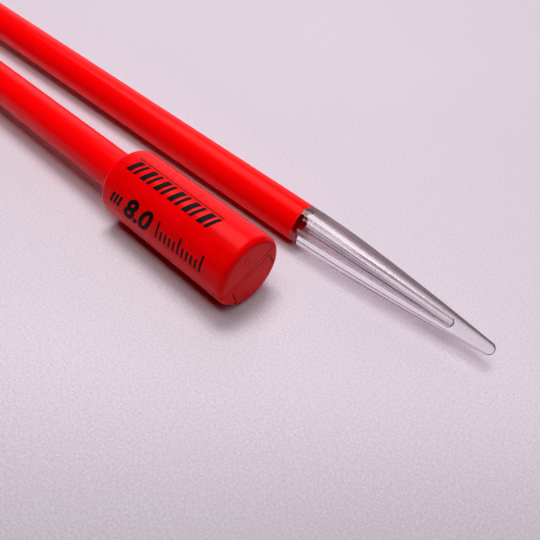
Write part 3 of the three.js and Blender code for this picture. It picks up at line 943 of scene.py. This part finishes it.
def table():
    """A pale table top with a fine grain, and painted shade that darkens it towards the viewer."""
    made, nodes, links, shader = material("table_top")
    cloud = object_noise(nodes, links, TABLE_CLOUD_SCALE, detail=3)
    pale = ramp(nodes, links, cloud.outputs["Fac"], *TABLE_TONES)
    fleck = object_noise(nodes, links, TABLE_GRAIN_SCALE, detail=2, roughness=0.7)
    grain = ramp(nodes, links, fleck.outputs["Fac"], *TABLE_GRAIN)
    place = nodes.new("ShaderNodeTexCoord")
    nearness = nodes.new("ShaderNodeVectorMath")
    nearness.operation = "DOT_PRODUCT"
    nearness.inputs[1].default_value = VIEWER_SIDE
    links.new(place.outputs["Object"], nearness.inputs[0])
    # Painted shade: the top's colour darkens towards the viewer
    shade = smooth_step(nodes, links, nearness.outputs["Value"], SHADE_START, SHADE_END, 1, SHADE_DEPTH)
    grain_and_painted_shade = nodes.new("ShaderNodeVectorMath")
    grain_and_painted_shade.operation = "SCALE"
    links.new(grain, grain_and_painted_shade.inputs[0])
    links.new(shade, grain_and_painted_shade.inputs["Scale"])
    tone = nodes.new("ShaderNodeVectorMath")
    tone.operation = "MULTIPLY"
    links.new(pale, tone.inputs[0])
    links.new(grain_and_painted_shade.outputs["Vector"], tone.inputs[1])
    links.new(tone.outputs["Vector"], shader.inputs["Base Color"])
    shader.inputs["Roughness"].default_value = TABLE_ROUGHNESS
    shader.inputs["Specular IOR Level"].default_value = TABLE_SHINE
    bump(nodes, links, shader, fleck.outputs["Fac"], 0.5, TABLE_RELIEF)
    shape = bmesh.new()
    bmesh.ops.create_grid(shape, x_segments=8, y_segments=8, size=TABLE_HALF_SIZE)
    bmesh.ops.translate(shape, vec=(0, 0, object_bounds()[0].z), verts=shape.verts)
    top = object_of(shape, "table")
    top.data.materials.append(made)
    top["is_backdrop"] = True


def soft_lamp(name, place, target, size, power, glint=False):
    """A lamp that lights the scene, or one that is only seen in what shines or is clear."""
    data = bpy.data.lights.new(name, "AREA")
    data.shape = "RECTANGLE"
    data.size, data.size_y = size
    data.energy = power
    lamp = bpy.data.objects.new(name, data)
    lamp.location = place
    lamp.rotation_mode = "QUATERNION"
    lamp.rotation_quaternion = (Vector(target) - Vector(place)).to_track_quat("-Z", "Y")
    lamp.visible_diffuse = not glint
    lamp.visible_glossy = glint
    lamp.visible_transmission = glint
    bpy.context.scene.collection.objects.link(lamp)


def camera(mouth):
    """The photograph's view, aimed from the mouth of the first needle's tube."""
    target = Vector((mouth.x + AIM[0] * MM, mouth.y + AIM[1] * MM, 0))
    azimuth, elevation, roll = math.radians(AZIMUTH), math.radians(ELEVATION), math.radians(CAMERA_ROLL)
    back = Vector((
        math.sin(azimuth) * math.cos(elevation), -math.cos(azimuth) * math.cos(elevation), math.sin(elevation),
    ))
    data = bpy.data.cameras.new("photograph")
    data.sensor_width = SENSOR
    data.lens = FOCAL_PIXELS * SENSOR / PICTURE_PIXELS
    data.clip_start = NEAREST * MM
    made = bpy.data.objects.new("photograph", data)
    made.location = target + back * DISTANCE * MM
    made.rotation_mode = "QUATERNION"
    turn = (-back).to_track_quat("-Z", "Y").to_matrix().to_4x4() @ Matrix.Rotation(roll, 4, "Z")
    made.rotation_quaternion = turn.to_quaternion()
    bpy.context.scene.collection.objects.link(made)
    bpy.context.scene.camera = made


def world():
    """A glow from the far left above the horizon. What the camera itself sees of the room is a pale backdrop."""
    made = bpy.data.worlds.new("room")
    bpy.context.scene.world = made
    made.use_nodes = True
    nodes, links = made.node_tree.nodes, made.node_tree.links
    ground = nodes["Background"]
    place = nodes.new("ShaderNodeTexCoord")
    towards = nodes.new("ShaderNodeVectorMath")
    towards.operation = "DOT_PRODUCT"
    towards.inputs[1].default_value = GLOW_SIDE
    links.new(place.outputs["Generated"], towards.inputs[0])
    height = nodes.new("ShaderNodeSeparateXYZ")
    links.new(place.outputs["Generated"], height.inputs["Vector"])
    side = smooth_step(nodes, links, towards.outputs["Value"], GLOW_START, GLOW_FULL, 0, 1)
    above = smooth_step(nodes, links, height.outputs["Z"], *HORIZON, 0, GLOW_STRENGTH)
    level = nodes.new("ShaderNodeMath")
    level.operation = "MULTIPLY"
    links.new(side, level.inputs[0])
    links.new(above, level.inputs[1])
    path = nodes.new("ShaderNodeLightPath")
    seen = nodes.new("ShaderNodeMix")
    seen.data_type = "RGBA"
    links.new(path.outputs["Is Camera Ray"], seen.inputs["Factor"])
    glow = nodes.new("ShaderNodeVectorMath")
    glow.operation = "SCALE"
    glow.inputs[0].default_value = GLOW_TINT
    links.new(level.outputs["Value"], glow.inputs["Scale"])
    links.new(glow.outputs["Vector"], seen.inputs[MIX_FIRST])
    seen.inputs[MIX_SECOND].default_value = (*BACKDROP, 1)
    links.new(seen.outputs[MIX_RESULT], ground.inputs["Color"])


for number in ROLLS:
    dress_needle(number)
mouth = place_of(1) @ Vector((MOUTH_X, 0, 0))
table()
camera(mouth)
world()
soft_lamp("window", (-0.13, 0.20, 1.1), (0.15, 0, 0), (0.5, 0.3), 9.3)
soft_lamp("ceiling", (0.05, -0.30, 1.1), (0.05, -0.30, 0), (1.0, 0.3), 4.1)
soft_lamp("side", (0.75, 0.0, 1.1), (0.4, 0, 0), (0.4, 1.0), 3.1)
soft_lamp("window_glint", (-0.23, 0.22, 0.99), (0.15, 0, 0), (0.6, 0.75), 6.4, glint=True)
bpy.context.scene.view_settings.view_transform = "Standard"
